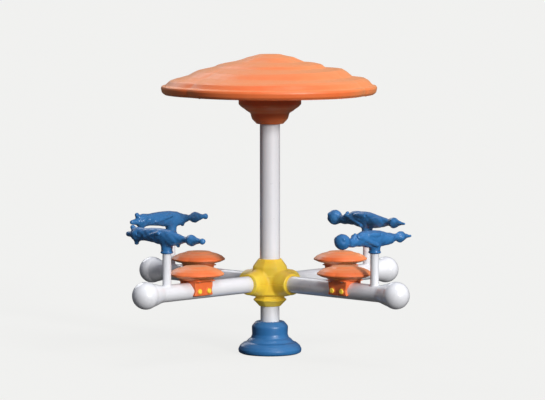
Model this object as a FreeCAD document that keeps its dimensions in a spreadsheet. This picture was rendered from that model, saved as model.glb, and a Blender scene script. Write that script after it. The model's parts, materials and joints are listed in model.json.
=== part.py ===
"""Playground merry-go-round: a fixed stub post, a bearing hub, four arms with seats and handles, a canopy.

Millimetres, +Z up, origin on the ground in the middle of the base plate. The arms lie on the diagonals.
"""

import FreeCAD, Part
import math
import os
import Sketcher

Vector = FreeCAD.Vector
Rotation = FreeCAD.Rotation
Placement = FreeCAD.Placement

X_AXIS = Vector(1, 0, 0)
Y_AXIS = Vector(0, 1, 0)
Z_AXIS = Vector(0, 0, 1)
ORIGIN = Vector(0, 0, 0)

ALONG_X = Rotation(Y_AXIS, 90)          # turns a feature's own Z to +X
ALONG_Y = Rotation(X_AXIS, -90)         # turns a feature's own Z to +Y
UPSIDE_DOWN = Rotation(X_AXIS, 180)
NO_TURN = Rotation()

ARM_BEARINGS = (45, 135, 225, 315)      # degrees round Z from +X
FASTENER_GAP = 0.05                     # radial room of a screw in its hole
RACE_GAP = 0.3                          # radial room of a ball in its race groove
LOBE_COUNT = 3                          # lobes round the canopy
LOBE_BEARING = -83                      # bearing of one lobe's middle

doc = FreeCAD.newDocument("MerryGoRound")

# ------------------------------------------------------------------------------------------------
# Driving sizes
# ------------------------------------------------------------------------------------------------
SIZES = {
    # base
    "plate_radius": 150, "plate_thick": 12, "anchor_pitch_radius": 120, "anchor_hole_radius": 9,
    "gusset_reach": 46, "gusset_rise": 80, "gusset_thick": 8,
    "stub_radius": 54, "stub_wall": 5, "stub_top": 284, "ring_thick": 12, "lower_ring_at": 120,
    "cover_top": 184, "cover_wall": 4, "cover_rim_radius": 180, "cover_screw_at": 6,
    # spindle and bearings
    "spindle_radius": 30, "collar_radius": 36, "collar_top": 300, "nose_radius": 25,
    "nose_start": 446, "spindle_top": 485,
    "lower_bearing_outer": 55, "lower_bearing_width": 22, "lower_ball_radius": 7.9,
    "upper_bearing_outer": 45, "upper_bearing_width": 20, "upper_ball_radius": 6.35,
    "washer_thick": 2, "nut_radius": 35, "nut_thick": 11,
    # hub
    "housing_radius": 72, "housing_bottom": 290, "housing_top": 500, "housing_bore": 40,
    "seal_thick": 8, "flange_thick": 12, "flange_screw_radius": 65.5,
    "shell_top": 542, "shell_bottom": 271, "shell_radius": 105, "shell_wall": 5,
    "shell_neck_radius": 66, "shell_foot_radius": 63, "shell_shoulder": 495, "shell_hip": 304,
    "mouth_radius": 60, "lip_radius": 65, "lip_start": 160, "mouth_end": 178,
    "shell_screw_radius": 91, "shell_boss_radius": 11,
    # upper post
    "post_radius": 57.15, "post_wall": 4, "post_top": 1560,
    # arms
    "arm_height": 406, "arm_radius": 47.5, "arm_wall": 4,
    "ball_at": 973, "ball_radius": 76, "ball_wall": 4, "ball_neck_start": 858,
    # seats
    "seat_at": 584, "seat_rim_radius": 152, "seat_rim_height": 498, "seat_base": 466,
    "seat_top": 543, "seat_wall": 6, "saddle_length": 140, "saddle_half_width": 62,
    "saddle_bottom": 380, "saddle_flange_half_width": 80, "saddle_flange_thick": 6,
    "bolt_radius": 5, "bolt_spacing": 72, "bolt_cap_radius": 15, "bolt_cap_depth": 10,
    # handles
    "grip_post_at": 812, "grip_post_radius": 24.15, "grip_post_wall": 3, "grip_post_top": 696,
    "grip_height": 713, "grip_boss_radius": 33, "grip_boss_bottom": 627, "grip_pin_height": 646,
    # canopy
    "canopy_top": 1705, "canopy_radius": 625, "lobe_depth": 46, "canopy_tip_height": 1509,
    "canopy_bottom": 1476, "canopy_wall": 5, "soffit_thick": 4, "lip_inner_radius": 580,
    "rim_screw_radius": 557,
    "funnel_top_radius": 178, "funnel_foot": 1311, "funnel_foot_radius": 78, "funnel_wall": 5,
    "funnel_flange_inner": 148, "canopy_bolt_radius": 162,
    "frame_arm_width": 30, "frame_arm_wall": 3, "frame_arm_reach": 560,
    "frame_sleeve_radius": 66, "frame_sleeve_bottom": 1458,
}

sheet = doc.addObject("Spreadsheet::Sheet", "Sizes")
for row, (name, number) in enumerate(SIZES.items(), start=1):
    sheet.set("A%d" % row, name)
    sheet.set("B%d" % row, str(number))
    sheet.setAlias("B%d" % row, name)
doc.recompute()


class Size:
    """A length that carries the sheet expression it comes from beside its value."""

    def __init__(self, text, value):
        self.text = text
        self.value = value

    def __float__(self):
        return float(self.value)

    def __add__(self, other):
        other = as_size(other)
        return Size("(%s + %s)" % (self.text, other.text), self.value + other.value)

    def __sub__(self, other):
        other = as_size(other)
        return Size("(%s - %s)" % (self.text, other.text), self.value - other.value)

    def __rsub__(self, other):
        return as_size(other) - self

    def __mul__(self, other):
        other = as_size(other)
        return Size("(%s * %s)" % (self.text, other.text), self.value * other.value)

    def __neg__(self):
        return Size("(0 - %s)" % self.text, -self.value)

    __radd__ = __add__
    __rmul__ = __mul__


def as_size(number):
    """A Size from a Size or from a plain number."""
    if isinstance(number, Size):
        return number
    return Size("%.4f" % number, float(number))


def cell(alias):
    """The Size held in one cell of the sheet."""
    return Size("Sizes." + alias, float(getattr(sheet, alias)))


# ------------------------------------------------------------------------------------------------
# Feature helpers
# ------------------------------------------------------------------------------------------------
nodes = []


def node(label, feature):
    """Name a finished sub-part and put it on the list that is written out."""
    feature.Label = label
    nodes.append(feature)
    return feature


def bind(feature, **sizes):
    """Bind a feature's properties to sheet expressions."""
    for name, size in sizes.items():
        feature.setExpression(name, as_size(size).text)


def place(feature, at, turn=NO_TURN):
    """Give a feature its rotation and a position bound to the sheet."""
    feature.Placement = Placement(ORIGIN, turn)
    for axis, size in zip("xyz", at):
        feature.setExpression("Placement.Base." + axis, as_size(size).text)
    return feature


def rod(radius, length, at=(0, 0, 0), turn=NO_TURN):
    feature = doc.addObject("Part::Cylinder", "Rod")
    bind(feature, Radius=radius, Height=length)
    return place(feature, at, turn)


def block(length, width, height, at):
    """A box whose X and Y sides are centred on its place and whose base is at its height."""
    feature = doc.addObject("Part::Box", "Block")
    bind(feature, Length=length, Width=width, Height=height)
    x, y, z = at
    return place(feature, (x - as_size(length) * 0.5, y - as_size(width) * 0.5, z))


def cone(foot_radius, tip_radius, length, at, turn=NO_TURN):
    feature = doc.addObject("Part::Cone", "Cone")
    bind(feature, Radius1=foot_radius, Radius2=tip_radius, Height=length)
    return place(feature, at, turn)


def sphere(radius, at):
    feature = doc.addObject("Part::Sphere", "Ball")
    bind(feature, Radius=radius)
    return place(feature, at)


def fuse(*pieces):
    feature = doc.addObject("Part::MultiFuse", "Fusion")
    feature.Shapes = list(pieces)
    return feature


def cut(solid, *tools):
    """solid less every tool."""
    feature = doc.addObject("Part::Cut", "Cut")
    feature.Base = solid
    feature.Tool = tools[0] if len(tools) == 1 else fuse(*tools)
    return feature


def common(first, second):
    feature = doc.addObject("Part::Common", "Common")
    feature.Base = first
    feature.Tool = second
    return feature


def copy_at(source, placement):
    """The same piece again at another place: it follows its source when a size changes."""
    feature = doc.addObject("Part::Compound", "Copy")
    feature.Links = [source]
    feature.Placement = placement
    return feature


def group(copies):
    feature = doc.addObject("Part::Compound", "Group")
    feature.Links = copies
    return feature


def turned_about_z(degrees):
    return Placement(ORIGIN, Rotation(Z_AXIS, degrees))


def ring_of(source, count, first=0.0):
    """count copies of a piece, evenly spaced round the main axis."""
    return [copy_at(source, turned_about_z(first + 360.0 * k / count)) for k in range(count)]


def on_each_arm(label, source):
    """One node per arm, from a piece made on an arm that points along +X."""
    for number, bearing in enumerate(ARM_BEARINGS, start=1):
        node("%s_%d" % (label, number), copy_at(source, turned_about_z(bearing)))


def tube(outer, inner, bottom, length):
    """A straight ring or tube round the main axis."""
    shell = rod(outer, length, (0, 0, bottom))
    bore = rod(inner, length + 2, (0, 0, as_size(bottom) - 1))
    return cut(shell, bore)


def origin_plane(body, role):
    return [plane for plane in body.Origin.OriginFeatures if plane.Role == role][0]


def outline_sketch(body, plane_role, outline):
    """A closed outline of straight sides on an origin plane, each corner bound to the sheet."""
    sketch = body.newObject("Sketcher::SketchObject", "Outline")
    sketch.AttachmentSupport = (origin_plane(body, plane_role), "")
    sketch.MapMode = "FlatFace"
    corners = [(as_size(x), as_size(y)) for x, y in outline]
    points = [Vector(float(x), float(y), 0) for x, y in corners]
    last = len(points) - 1
    for k, point in enumerate(points):
        sketch.addGeometry(Part.LineSegment(point, points[0 if k == last else k + 1]), False)
    for k in range(len(points)):
        sketch.addConstraint(Sketcher.Constraint("Coincident", k, 2, 0 if k == last else k + 1, 1))
    for k, (x, y) in enumerate(corners):
        for kind, size, axis in (("DistanceX", x, -2), ("DistanceY", y, -1)):
            if size.value == 0:
                sketch.addConstraint(Sketcher.Constraint("PointOnObject", k, 1, axis))
            else:
                index = sketch.addConstraint(Sketcher.Constraint(kind, -1, 1, k, 1, size.value))
                sketch.setExpression("Constraints[%d]" % index, size.text)
    return sketch


def turned(outline):
    """A body turned round the main axis from an outline of (radius, height) corners."""
    body = doc.addObject("PartDesign::Body", "Turned")
    sketch = outline_sketch(body, "XZ_Plane", outline)
    revolution = body.newObject("PartDesign::Revolution", "Revolution")
    revolution.Profile = sketch
    revolution.ReferenceAxis = (sketch, ["V_Axis"])
    revolution.Angle = 360
    sketch.Visibility = False
    return body


def plate_from(outline, plane_role, thickness):
    """A body padded both ways from an outline."""
    body = doc.addObject("PartDesign::Body", "Plate")
    sketch = outline_sketch(body, plane_role, outline)
    pad = body.newObject("PartDesign::Pad", "Pad")
    pad.Profile = sketch
    bind(pad, Length=thickness)
    pad.Midplane = True
    return body


def smooth_line(corners):
    curve = Part.BSplineCurve()
    curve.interpolate([Vector(float(r), 0, float(z)) for r, z in corners])
    return curve.toShape()


def straight_line(start, end):
    return Part.makeLine(Vector(float(start[0]), 0, float(start[1])),
                         Vector(float(end[0]), 0, float(end[1])))


def moulded(runs):
    """A moulding turned round the main axis. Each run is a smooth curve through its own points."""
    edges = []
    for k, run in enumerate(runs):
        edges.append(smooth_line(run) if len(run) > 2 else straight_line(run[0], run[1]))
        following = runs[(k + 1) % len(runs)]
        gap = math.hypot(float(run[-1][0]) - float(following[0][0]),
                         float(run[-1][1]) - float(following[0][1]))
        if gap > 0.001:
            edges.append(straight_line(run[-1], following[0]))
    face = Part.Face(Part.Wire(Part.__sortEdges__(edges)))
    feature = doc.addObject("Part::Feature", "Moulding")
    feature.Shape = face.revolve(ORIGIN, Z_AXIS, 360)
    return feature


def screw(shank_radius, length, head_radius, head_height, at, turn=NO_TURN):
    """A screw whose head's underside is at its place and whose shank runs down its own -Z."""
    head = rod(head_radius, head_height)
    shank = rod(shank_radius, length, (0, 0, -as_size(length)))
    return place(fuse(head, shank), at, turn)


# ------------------------------------------------------------------------------------------------
# Base: plate, stub post, spindle and bell cover
# ------------------------------------------------------------------------------------------------
def build_base():
    thick = cell("plate_thick")
    anchor = rod(cell("anchor_hole_radius"), thick + 2, (cell("anchor_pitch_radius"), 0, -1))
    cover_thread = rod(3 + FASTENER_GAP, 26,
                       (cell("plate_radius") - 20, 0, cell("cover_screw_at")), ALONG_X)
    disc = rod(cell("plate_radius"), thick)
    node("base_plate", cut(disc, *(ring_of(anchor, 4, 45) + ring_of(cover_thread, 4))))

    stub = cell("stub_radius")
    rise = thick + cell("gusset_rise")
    reach = stub + cell("gusset_reach")
    gusset = plate_from([(stub, thick), (reach, thick), (reach, thick + 15), (stub + 8, rise),
                         (stub, rise)], "XZ_Plane", cell("gusset_thick"))
    node("base_gussets", group(ring_of(gusset, 4)))

    bore = stub - cell("stub_wall")
    node("stub_post", tube(stub, bore, thick, cell("stub_top") - thick))

    ring = cell("ring_thick")
    spindle = cell("spindle_radius")
    upper_ring = tube(bore, spindle, cell("stub_top") - ring, ring)
    lower_ring = tube(bore, spindle, cell("lower_ring_at"), ring)
    node("spindle_rings", group([lower_ring, upper_ring]))

    collar = cell("collar_radius")
    nose = cell("nose_radius")
    node("spindle", turned([(0, cell("lower_ring_at")), (spindle, cell("lower_ring_at")),
                            (spindle, cell("stub_top")), (collar, cell("stub_top")),
                            (collar, cell("collar_top")), (spindle, cell("collar_top")),
                            (spindle, cell("nose_start")), (nose, cell("nose_start")),
                            (nose, cell("spindle_top") - 2), (nose - 2, cell("spindle_top")),
                            (0, cell("spindle_top"))]))

    washer_bottom = cell("nose_start") + cell("upper_bearing_width")
    node("lock_washer", tube(32, nose, washer_bottom, cell("washer_thick")))
    nut_bottom = washer_bottom + cell("washer_thick")
    blank = tube(cell("nut_radius"), nose, nut_bottom, cell("nut_thick"))
    slot = block(8, 6, cell("nut_thick") + 2, (cell("nut_radius"), 0, nut_bottom - 1))
    node("lock_nut", cut(blank, *ring_of(slot, 4)))


def build_base_cover():
    """Bell-shaped moulding: a rounded crown, a slight waist and a flared skirt that rolls under."""
    top = cell("cover_top")
    rim = cell("cover_rim_radius")
    wall = cell("cover_wall")
    neck = cell("stub_radius") + 0.5
    crown = [(neck + 20, top), (94, top - 8), (102, top - 26), (104, top - 50),
             (105, top - 74), (112, 92), (126, 75), (144, 60), (164, 47), (175, 36), (rim, 22),
             (177, 10), (168, 3), (160, 0)]
    lining = [(152.5, 0), (163, 6), (rim - wall, 21), (171, 33), (160, 44), (141, 56),
              (122.5, 71.5), (108.5, 89), (101, top - 74), (100, top - 50), (98, top - 28),
              (90, top - 13), (neck + 18, top - 5)]
    bell = moulded([[(neck, top), (neck + 20, top)], crown, [(160, 0), (152.5, 0)], lining,
                    [(neck + 18, top - 5), (neck, top - 5)]])
    screw_seat = rim - 14
    hole = rod(3 + FASTENER_GAP, 40, (rim - 30, 0, cell("cover_screw_at")), ALONG_X)
    counterbore = rod(5.5, 20, (screw_seat, 0, cell("cover_screw_at")), ALONG_X)
    node("base_cover", cut(bell, *(ring_of(hole, 4) + ring_of(counterbore, 4))))

    bolt = screw(3, 28, 5, 3.5, (screw_seat, 0, cell("cover_screw_at")), ALONG_X)
    node("cover_screws", group(ring_of(bolt, 4)))


# ------------------------------------------------------------------------------------------------
# Bearings: inner ring, outer ring, balls and cage, on one pair of sizes each
# ------------------------------------------------------------------------------------------------
def build_bearing(name, bore, outer, bottom, width, ball, ball_count):
    """A deep-groove ball bearing. The two rings ride with the spindle and with the hub."""
    middle = bottom + width * 0.5
    pitch = (bore + outer) * 0.5
    groove = ball + RACE_GAP
    shoulder = ball * 0.53
    track = doc.addObject("Part::Torus", "Track")
    bind(track, Radius1=pitch, Radius2=groove)
    place(track, (0, 0, middle))
    node(name + "_inner_race", cut(tube(pitch - shoulder, bore, bottom, width), track))
    node(name + "_outer_race", cut(tube(outer, pitch + shoulder, bottom, width), track))

    roller = sphere(ball, (pitch, 0, middle))
    node(name + "_balls", group(ring_of(roller, ball_count)))
    half_band = ball * 1.22
    band = tube(pitch + 1.6, pitch - 1.6, middle - half_band, half_band * 2)
    pocket = rod(ball + RACE_GAP, 8, (pitch - 4, 0, middle), ALONG_X)
    node(name + "_cage", cut(band, *ring_of(pocket, ball_count)))


def build_bearings():
    build_bearing("lower", cell("spindle_radius"), cell("lower_bearing_outer"), cell("collar_top"),
                  cell("lower_bearing_width"), cell("lower_ball_radius"), 11)
    build_bearing("upper", cell("nose_radius"), cell("upper_bearing_outer"), cell("nose_start"),
                  cell("upper_bearing_width"), cell("upper_ball_radius"), 11)


# ------------------------------------------------------------------------------------------------
# Hub: bearing housing, flange, seal and the two-part moulded shell
# ------------------------------------------------------------------------------------------------
def build_housing():
    outer = cell("housing_radius")
    lower_bore = cell("lower_bearing_outer")
    upper_bore = cell("upper_bearing_outer")
    bottom = cell("housing_bottom")
    top = cell("housing_top")
    lower_shoulder = cell("collar_top") + cell("lower_bearing_width")
    barrel = turned([(lower_bore, bottom), (lower_bore + 9, bottom),
                     (lower_bore + 9, lower_shoulder + 4), (outer, lower_shoulder + 16),
                     (outer, top), (upper_bore, top),
                     (upper_bore, cell("nose_start")), (cell("housing_bore"), cell("nose_start")),
                     (cell("housing_bore"), lower_shoulder), (lower_bore, lower_shoulder)])
    thick = cell("flange_thick")
    thread = rod(3 + FASTENER_GAP, thick + 24, (cell("flange_screw_radius"), 0, top - 22))
    threads = ring_of(thread, 6, 30)
    node("hub_housing", cut(barrel, *threads))

    seal = tube(lower_bore, cell("collar_radius") + 0.5, bottom, cell("seal_thick"))
    node("lower_seal", seal)

    node("post_flange", cut(tube(outer, 30, top, thick), *threads))
    bolt = screw(3, 30, 5, 6, (cell("flange_screw_radius"), 0, top + thick))
    node("flange_screws", group(ring_of(bolt, 6, 30)))

    post = cell("post_radius")
    node("upper_post", tube(post, post - cell("post_wall"), top + thick,
                            cell("post_top") - top - thick))


def shell_body(grow):
    """The hub shell's outer solid, or its cavity when grow is minus the wall."""
    side = cell("shell_radius") + grow
    top = cell("shell_top")
    bottom = cell("shell_bottom")
    drum = turned([(0, bottom - grow), (cell("shell_foot_radius") + grow, bottom - grow),
                   (side - 13, cell("shell_hip") - grow), (side, cell("shell_hip") + 22),
                   (side, cell("shell_shoulder") - 9), (side - 4, cell("shell_shoulder") + grow),
                   (cell("shell_neck_radius") + grow, top + grow), (0, top + grow)])
    height = cell("arm_height")
    mouth = rod(cell("mouth_radius") + grow, cell("mouth_end") - 1, (0, 0, height), ALONG_X)
    lip = rod(cell("lip_radius") + grow, cell("mouth_end") - cell("lip_start") + grow * 2,
              (cell("lip_start") - grow, 0, height), ALONG_X)
    return fuse(drum, *(ring_of(mouth, 4, 45) + ring_of(lip, 4, 45)))


def build_hub_shell():
    """Two shells that meet at the arms' mid plane, held together by screws from below."""
    skin = shell_body(0)
    cavity = shell_body(-cell("shell_wall"))
    arm = rod(cell("arm_radius") + 0.2, cell("mouth_end") + 10, (0, 0, cell("arm_height")), ALONG_X)
    stub_hole = rod(cell("stub_radius") + 2.5, 60, (0, 0, cell("shell_bottom") - 20))
    post_hole = rod(cell("post_radius") + 0.3, 60, (0, 0, cell("shell_top") - 40))
    boss_at = (cell("shell_screw_radius"), 0)
    screw_boss = rod(cell("shell_boss_radius"), 100, boss_at + (cell("arm_height") - 50,))
    bosses = common(skin, fuse(*ring_of(screw_boss, 4)))
    walls = fuse(cut(skin, cavity), bosses)
    screw_head_at = cell("arm_height") - 44
    clearance = rod(3 + FASTENER_GAP, 76, boss_at + (screw_head_at - 1,))
    recess = rod(6, 80, boss_at + (screw_head_at - 80,))
    tools = ring_of(arm, 4, 45) + ring_of(clearance, 4) + ring_of(recess, 4)
    shell = cut(walls, stub_hole, post_hole, *tools)
    reach = cell("mouth_end") * 3
    upper_half = block(reach, reach, 300, (0, 0, cell("arm_height")))
    lower_half = block(reach, reach, 300, (0, 0, cell("arm_height") - 300))
    node("hub_shell_upper", common(shell, upper_half))
    node("hub_shell_lower", common(shell, lower_half))

    bolt = screw(3, 72, 5.5, 4, boss_at + (screw_head_at,), UPSIDE_DOWN)
    node("shell_screws", group(ring_of(bolt, 4)))


# ------------------------------------------------------------------------------------------------
# Arms: tube, ball end, grip post
# ------------------------------------------------------------------------------------------------
def bolt_places():
    """Where along an arm the two seat bolts cross it."""
    return [cell("seat_at") + side * 0.5 * cell("bolt_spacing") for side in (-1, 1)]


def build_arms():
    height = cell("arm_height")
    radius = cell("arm_radius")
    end = cell("ball_at") - 58
    skin = rod(radius, end, (0, 0, height), ALONG_X)
    bore = rod(radius - cell("arm_wall"), end + 2, (-1, 0, height), ALONG_X)
    housing = rod(cell("housing_radius"), 300, (0, 0, height - 150))
    bolt_holes = [rod(cell("bolt_radius") + FASTENER_GAP, 120, (x, -60, height), ALONG_Y)
                  for x in bolt_places()]
    on_each_arm("arm_tube", cut(skin, bore, housing, *bolt_holes))

    neck_start = cell("ball_neck_start")
    ball = sphere(cell("ball_radius"), (cell("ball_at"), 0, height))
    neck = cone(radius + 2, radius + 13, 70, (neck_start, 0, height), ALONG_X)
    hollow = sphere(cell("ball_radius") - cell("ball_wall"), (cell("ball_at"), 0, height))
    socket = rod(radius, end - neck_start + 1, (neck_start - 1, 0, height), ALONG_X)
    on_each_arm("ball_end", cut(fuse(ball, neck), hollow, socket))

    top = cell("grip_post_top")
    grip_radius = cell("grip_post_radius")
    at = (cell("grip_post_at"), 0, height)
    grip = rod(grip_radius, top - height, at)
    grip_bore = rod(grip_radius - cell("grip_post_wall"), top - height + 2, at)
    arm = rod(radius, cell("ball_at"), (0, 0, height), ALONG_X)
    pin_hole = rod(4 + FASTENER_GAP, 80, (cell("grip_post_at") - 40, 0, cell("grip_pin_height")),
                   ALONG_X)
    on_each_arm("grip_post", cut(grip, grip_bore, arm, pin_hole))


# ------------------------------------------------------------------------------------------------
# Seats: moulded disc, saddle over the arm, bolts and caps
# ------------------------------------------------------------------------------------------------
def build_seats():
    at = cell("seat_at")
    base = cell("seat_base")
    top = cell("seat_top")
    rim = cell("seat_rim_radius")
    rim_height = cell("seat_rim_height")
    wall = cell("seat_wall")
    disc = turned([(30, base), (94, base), (108, rim_height - 19), (128, rim_height - 17),
                   (rim - 3, rim_height - 7), (rim, rim_height), (rim - 3, rim_height + 9),
                   (139, rim_height + 23), (86, top - 15), (76, top - 4), (60, top), (0, top),
                   (0, top - wall), (60, top - wall), (72, top - 10), (82, top - 21),
                   (135, rim_height + 17), (rim - wall - 2, rim_height + 6),
                   (rim - wall, rim_height), (rim - wall - 2, rim_height - 2), (126, rim_height - 11),
                   (105, rim_height - 13), (92, base + wall), (30, base + wall)])
    disc_in_place = place(disc, (at, 0, 0))
    screw_x = 45
    screw_y = 71
    corners = [(at + sx * screw_x, sy * screw_y) for sx in (-1, 1) for sy in (-1, 1)]
    pilot = [rod(3 + FASTENER_GAP, 30, corner + (base - 15,)) for corner in corners]
    on_each_arm("seat", cut(disc_in_place, *pilot))

    half_width = cell("saddle_half_width")
    bottom = cell("saddle_bottom")
    length = cell("saddle_length")
    flange_thick = cell("saddle_flange_thick")
    cheeks = block(length, half_width * 2, base - bottom, (at, 0, bottom))
    flange = block(length, cell("saddle_flange_half_width") * 2, flange_thick,
                   (at, 0, base - flange_thick))
    arm = rod(cell("arm_radius") + 0.05, cell("ball_at"), (0, 0, cell("arm_height")), ALONG_X)
    bolt_holes = [rod(cell("bolt_radius") + FASTENER_GAP, 160, (x, -80, cell("arm_height")), ALONG_Y)
                  for x in bolt_places()]
    on_each_arm("seat_saddle", cut(fuse(cheeks, flange), arm, *(pilot + bolt_holes)))

    short_screw = [screw(3, 11.8, 5, 3.5, corner + (base - flange_thick,), UPSIDE_DOWN)
                   for corner in corners]
    node("seat_screws", group(ring_of(group(short_screw), 4, 45)))
    build_seat_bolts(half_width)


def build_seat_bolts(half_width):
    """Two bolts through each saddle and arm, with a nut on the far side and a cap over each end."""
    height = cell("arm_height")
    radius = cell("bolt_radius")
    cap_radius = cell("bolt_cap_radius")
    depth = cell("bolt_cap_depth")
    bolts = []
    nuts = []
    caps = []
    for x in bolt_places():
        shank = rod(radius, half_width * 2 + 6.4, (x, -half_width, height), ALONG_Y)
        head = rod(8.5, 6.4, (x, -half_width - 6.4, height), ALONG_Y)
        bolts.append(fuse(shank, head))
        nut = rod(8.5, 6.4, (x, half_width, height), ALONG_Y)
        nuts.append(cut(nut, shank))
        for side in (-1, 1):
            outward = Rotation(X_AXIS, -90 * side)
            root = (x, side * half_width, height)
            body = rod(cap_radius, depth - 3, root, outward)
            crown = cone(cap_radius, cap_radius - 4, 3, (x, side * (half_width + depth - 3), height),
                         outward)
            hollow = rod(8.6, 6.5, root, outward)
            caps.append(cut(fuse(body, crown), hollow))
    node("seat_bolts", group(ring_of(group(bolts), 4, 45)))
    node("seat_nuts", group(ring_of(group(nuts), 4, 45)))
    node("bolt_caps", group(ring_of(group(caps), 4, 45)))


# ------------------------------------------------------------------------------------------------
# Grips: two kinds of cast figure, each lying square across its arm on a round boss
# ------------------------------------------------------------------------------------------------
UPRIGHT_SECTION = Rotation(Vector(1, 1, 1), -120)   # an ellipse's long axis up, its normal along Y


def lofted_figure(stations):
    """A smooth body along Y through upright ellipses: (along, up, half height, half width)."""
    sections = []
    for along, up, half_height, half_width in stations:
        ellipse = doc.addObject("Part::Ellipse", "Section")
        ellipse.MajorRadius = half_height
        ellipse.MinorRadius = half_width
        sections.append(place(ellipse, figure_point(along, up), UPRIGHT_SECTION))
    loft = doc.addObject("Part::Loft", "Figure")
    loft.Sections = sections
    loft.Solid = True
    return loft


def figure_point(along, up):
    return (cell("grip_post_at"), along, cell("grip_height") + up)


def ball_headed_figure():
    """Ball head, short neck, a body deepest in the middle, waist, a diamond lobe and a thin tip."""
    body = lofted_figure([(-250, -8, 25, 24), (-190, -13, 26, 24), (-150, -7, 31, 28),
                          (-111, 1, 40, 33), (-50, -3, 46, 37), (0, -4, 47, 37), (50, -6, 43, 36),
                          (95, -9, 35, 32), (135, -8, 27, 25), (178, -7, 17, 16)])
    head = sphere(45, figure_point(-262, -4))
    bump = sphere(14, figure_point(-160, 21))
    lobe_rise = cone(16, 30, 40, figure_point(172, -7), ALONG_Y)
    lobe_fall = cone(30, 11, 44, figure_point(212, -7), ALONG_Y)
    tip = cone(10, 6, 44, figure_point(250, -7), ALONG_Y)
    tip_end = sphere(6, figure_point(294, -7))
    return [body, head, bump, lobe_rise, lobe_fall, tip, tip_end]


def crowned_figure():
    """A crown of three blunt points, a body deepest in the middle, waist, a broad lobe and a knob."""
    body = lofted_figure([(-266, 5, 28, 25), (-236, 7, 40, 33), (-205, 10, 37, 32),
                          (-178, 10, 35, 31), (-135, 11, 38, 34), (-60, 8, 44, 37), (0, 3, 47, 38),
                          (44, 2, 41, 35), (88, -2, 32, 29), (122, 0, 22, 20), (156, 1, 14, 14)])
    points = []
    for tilt, reach in ((-48, 62), (0, 84), (84, 50)):
        points.append(cone(28, 11, reach, figure_point(-238, 4), Rotation(X_AXIS, 90 + tilt)))
    fin = cone(16, 5, 34, figure_point(86, -10), Rotation(X_AXIS, 172))
    lobe_rise = cone(13, 31, 46, figure_point(150, 1), ALONG_Y)
    lobe_fall = cone(31, 11, 52, figure_point(196, 1), ALONG_Y)
    neck = cone(11, 10, 30, figure_point(246, 1), ALONG_Y)
    knob = sphere(16, figure_point(283, 1))
    return [body, *points, fin, lobe_rise, lobe_fall, neck, knob]


def build_grips():
    bottom = cell("grip_boss_bottom")
    at = (cell("grip_post_at"), 0, bottom)
    socket = rod(cell("grip_post_radius") + FASTENER_GAP, cell("grip_post_top") - bottom + 2,
                 (cell("grip_post_at"), 0, bottom - 2))
    pin_height = cell("grip_pin_height")
    pin_hole = rod(4 + FASTENER_GAP, 80, (cell("grip_post_at") - 40, 0, pin_height), ALONG_X)
    boss_radius = cell("grip_boss_radius")
    figures = {}
    for kind, pieces in (("ball", ball_headed_figure()), ("crown", crowned_figure())):
        boss = rod(boss_radius, cell("grip_height") - bottom, at)
        figures[kind] = cut(fuse(boss, *pieces), socket, pin_hole)

    # The front pair and the back pair face opposite ways along their arms' cross direction.
    turned_round = Rotation(Z_AXIS, 180)
    for number, bearing in enumerate(ARM_BEARINGS, start=1):
        kind = "ball" if bearing in (45, 315) else "crown"
        figure = figures[kind]
        if bearing < 180:
            pivot = Vector(float(cell("grip_post_at")), 0, 0)
            figure = copy_at(figure, Placement(ORIGIN, turned_round, pivot))
        node("grip_%d" % number, copy_at(figure, turned_about_z(bearing)))

    half = boss_radius - 0.5
    pin = rod(4, half * 2, (cell("grip_post_at") - half, 0, pin_height), ALONG_X)
    node("grip_pins", group(ring_of(pin, 4, 45)))


# ------------------------------------------------------------------------------------------------
# Canopy: moulded hood in stepped lobes, soffit, funnel and the steel frame inside
# ------------------------------------------------------------------------------------------------
def lobed_radius(radius, bearing):
    """Radius of a closed outline of equal lobes with a soft crease between each two."""
    swing = abs(math.cos(math.radians((bearing - LOBE_BEARING) * LOBE_COUNT / 2.0)))
    depth = float(cell("lobe_depth")) * float(radius) / float(cell("canopy_radius"))
    return float(radius) - depth * (1 - swing ** 0.8)


def lobed_wire(radius, height):
    points = []
    for k in range(LOBE_COUNT * 16):
        bearing = LOBE_BEARING + 360.0 * k / (LOBE_COUNT * 16)
        reach = lobed_radius(radius, bearing)
        points.append(Vector(reach * math.cos(math.radians(bearing)),
                             reach * math.sin(math.radians(bearing)), float(height)))
    curve = Part.BSplineCurve()
    curve.interpolate(points, PeriodicFlag=True)
    return Part.Wire(curve.toShape())


def lobed_solid(levels):
    """A solid through lobed outlines, one for each (radius, height) from the bottom up."""
    return Part.makeLoft([lobed_wire(radius, height) for radius, height in levels], True, True)


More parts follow.
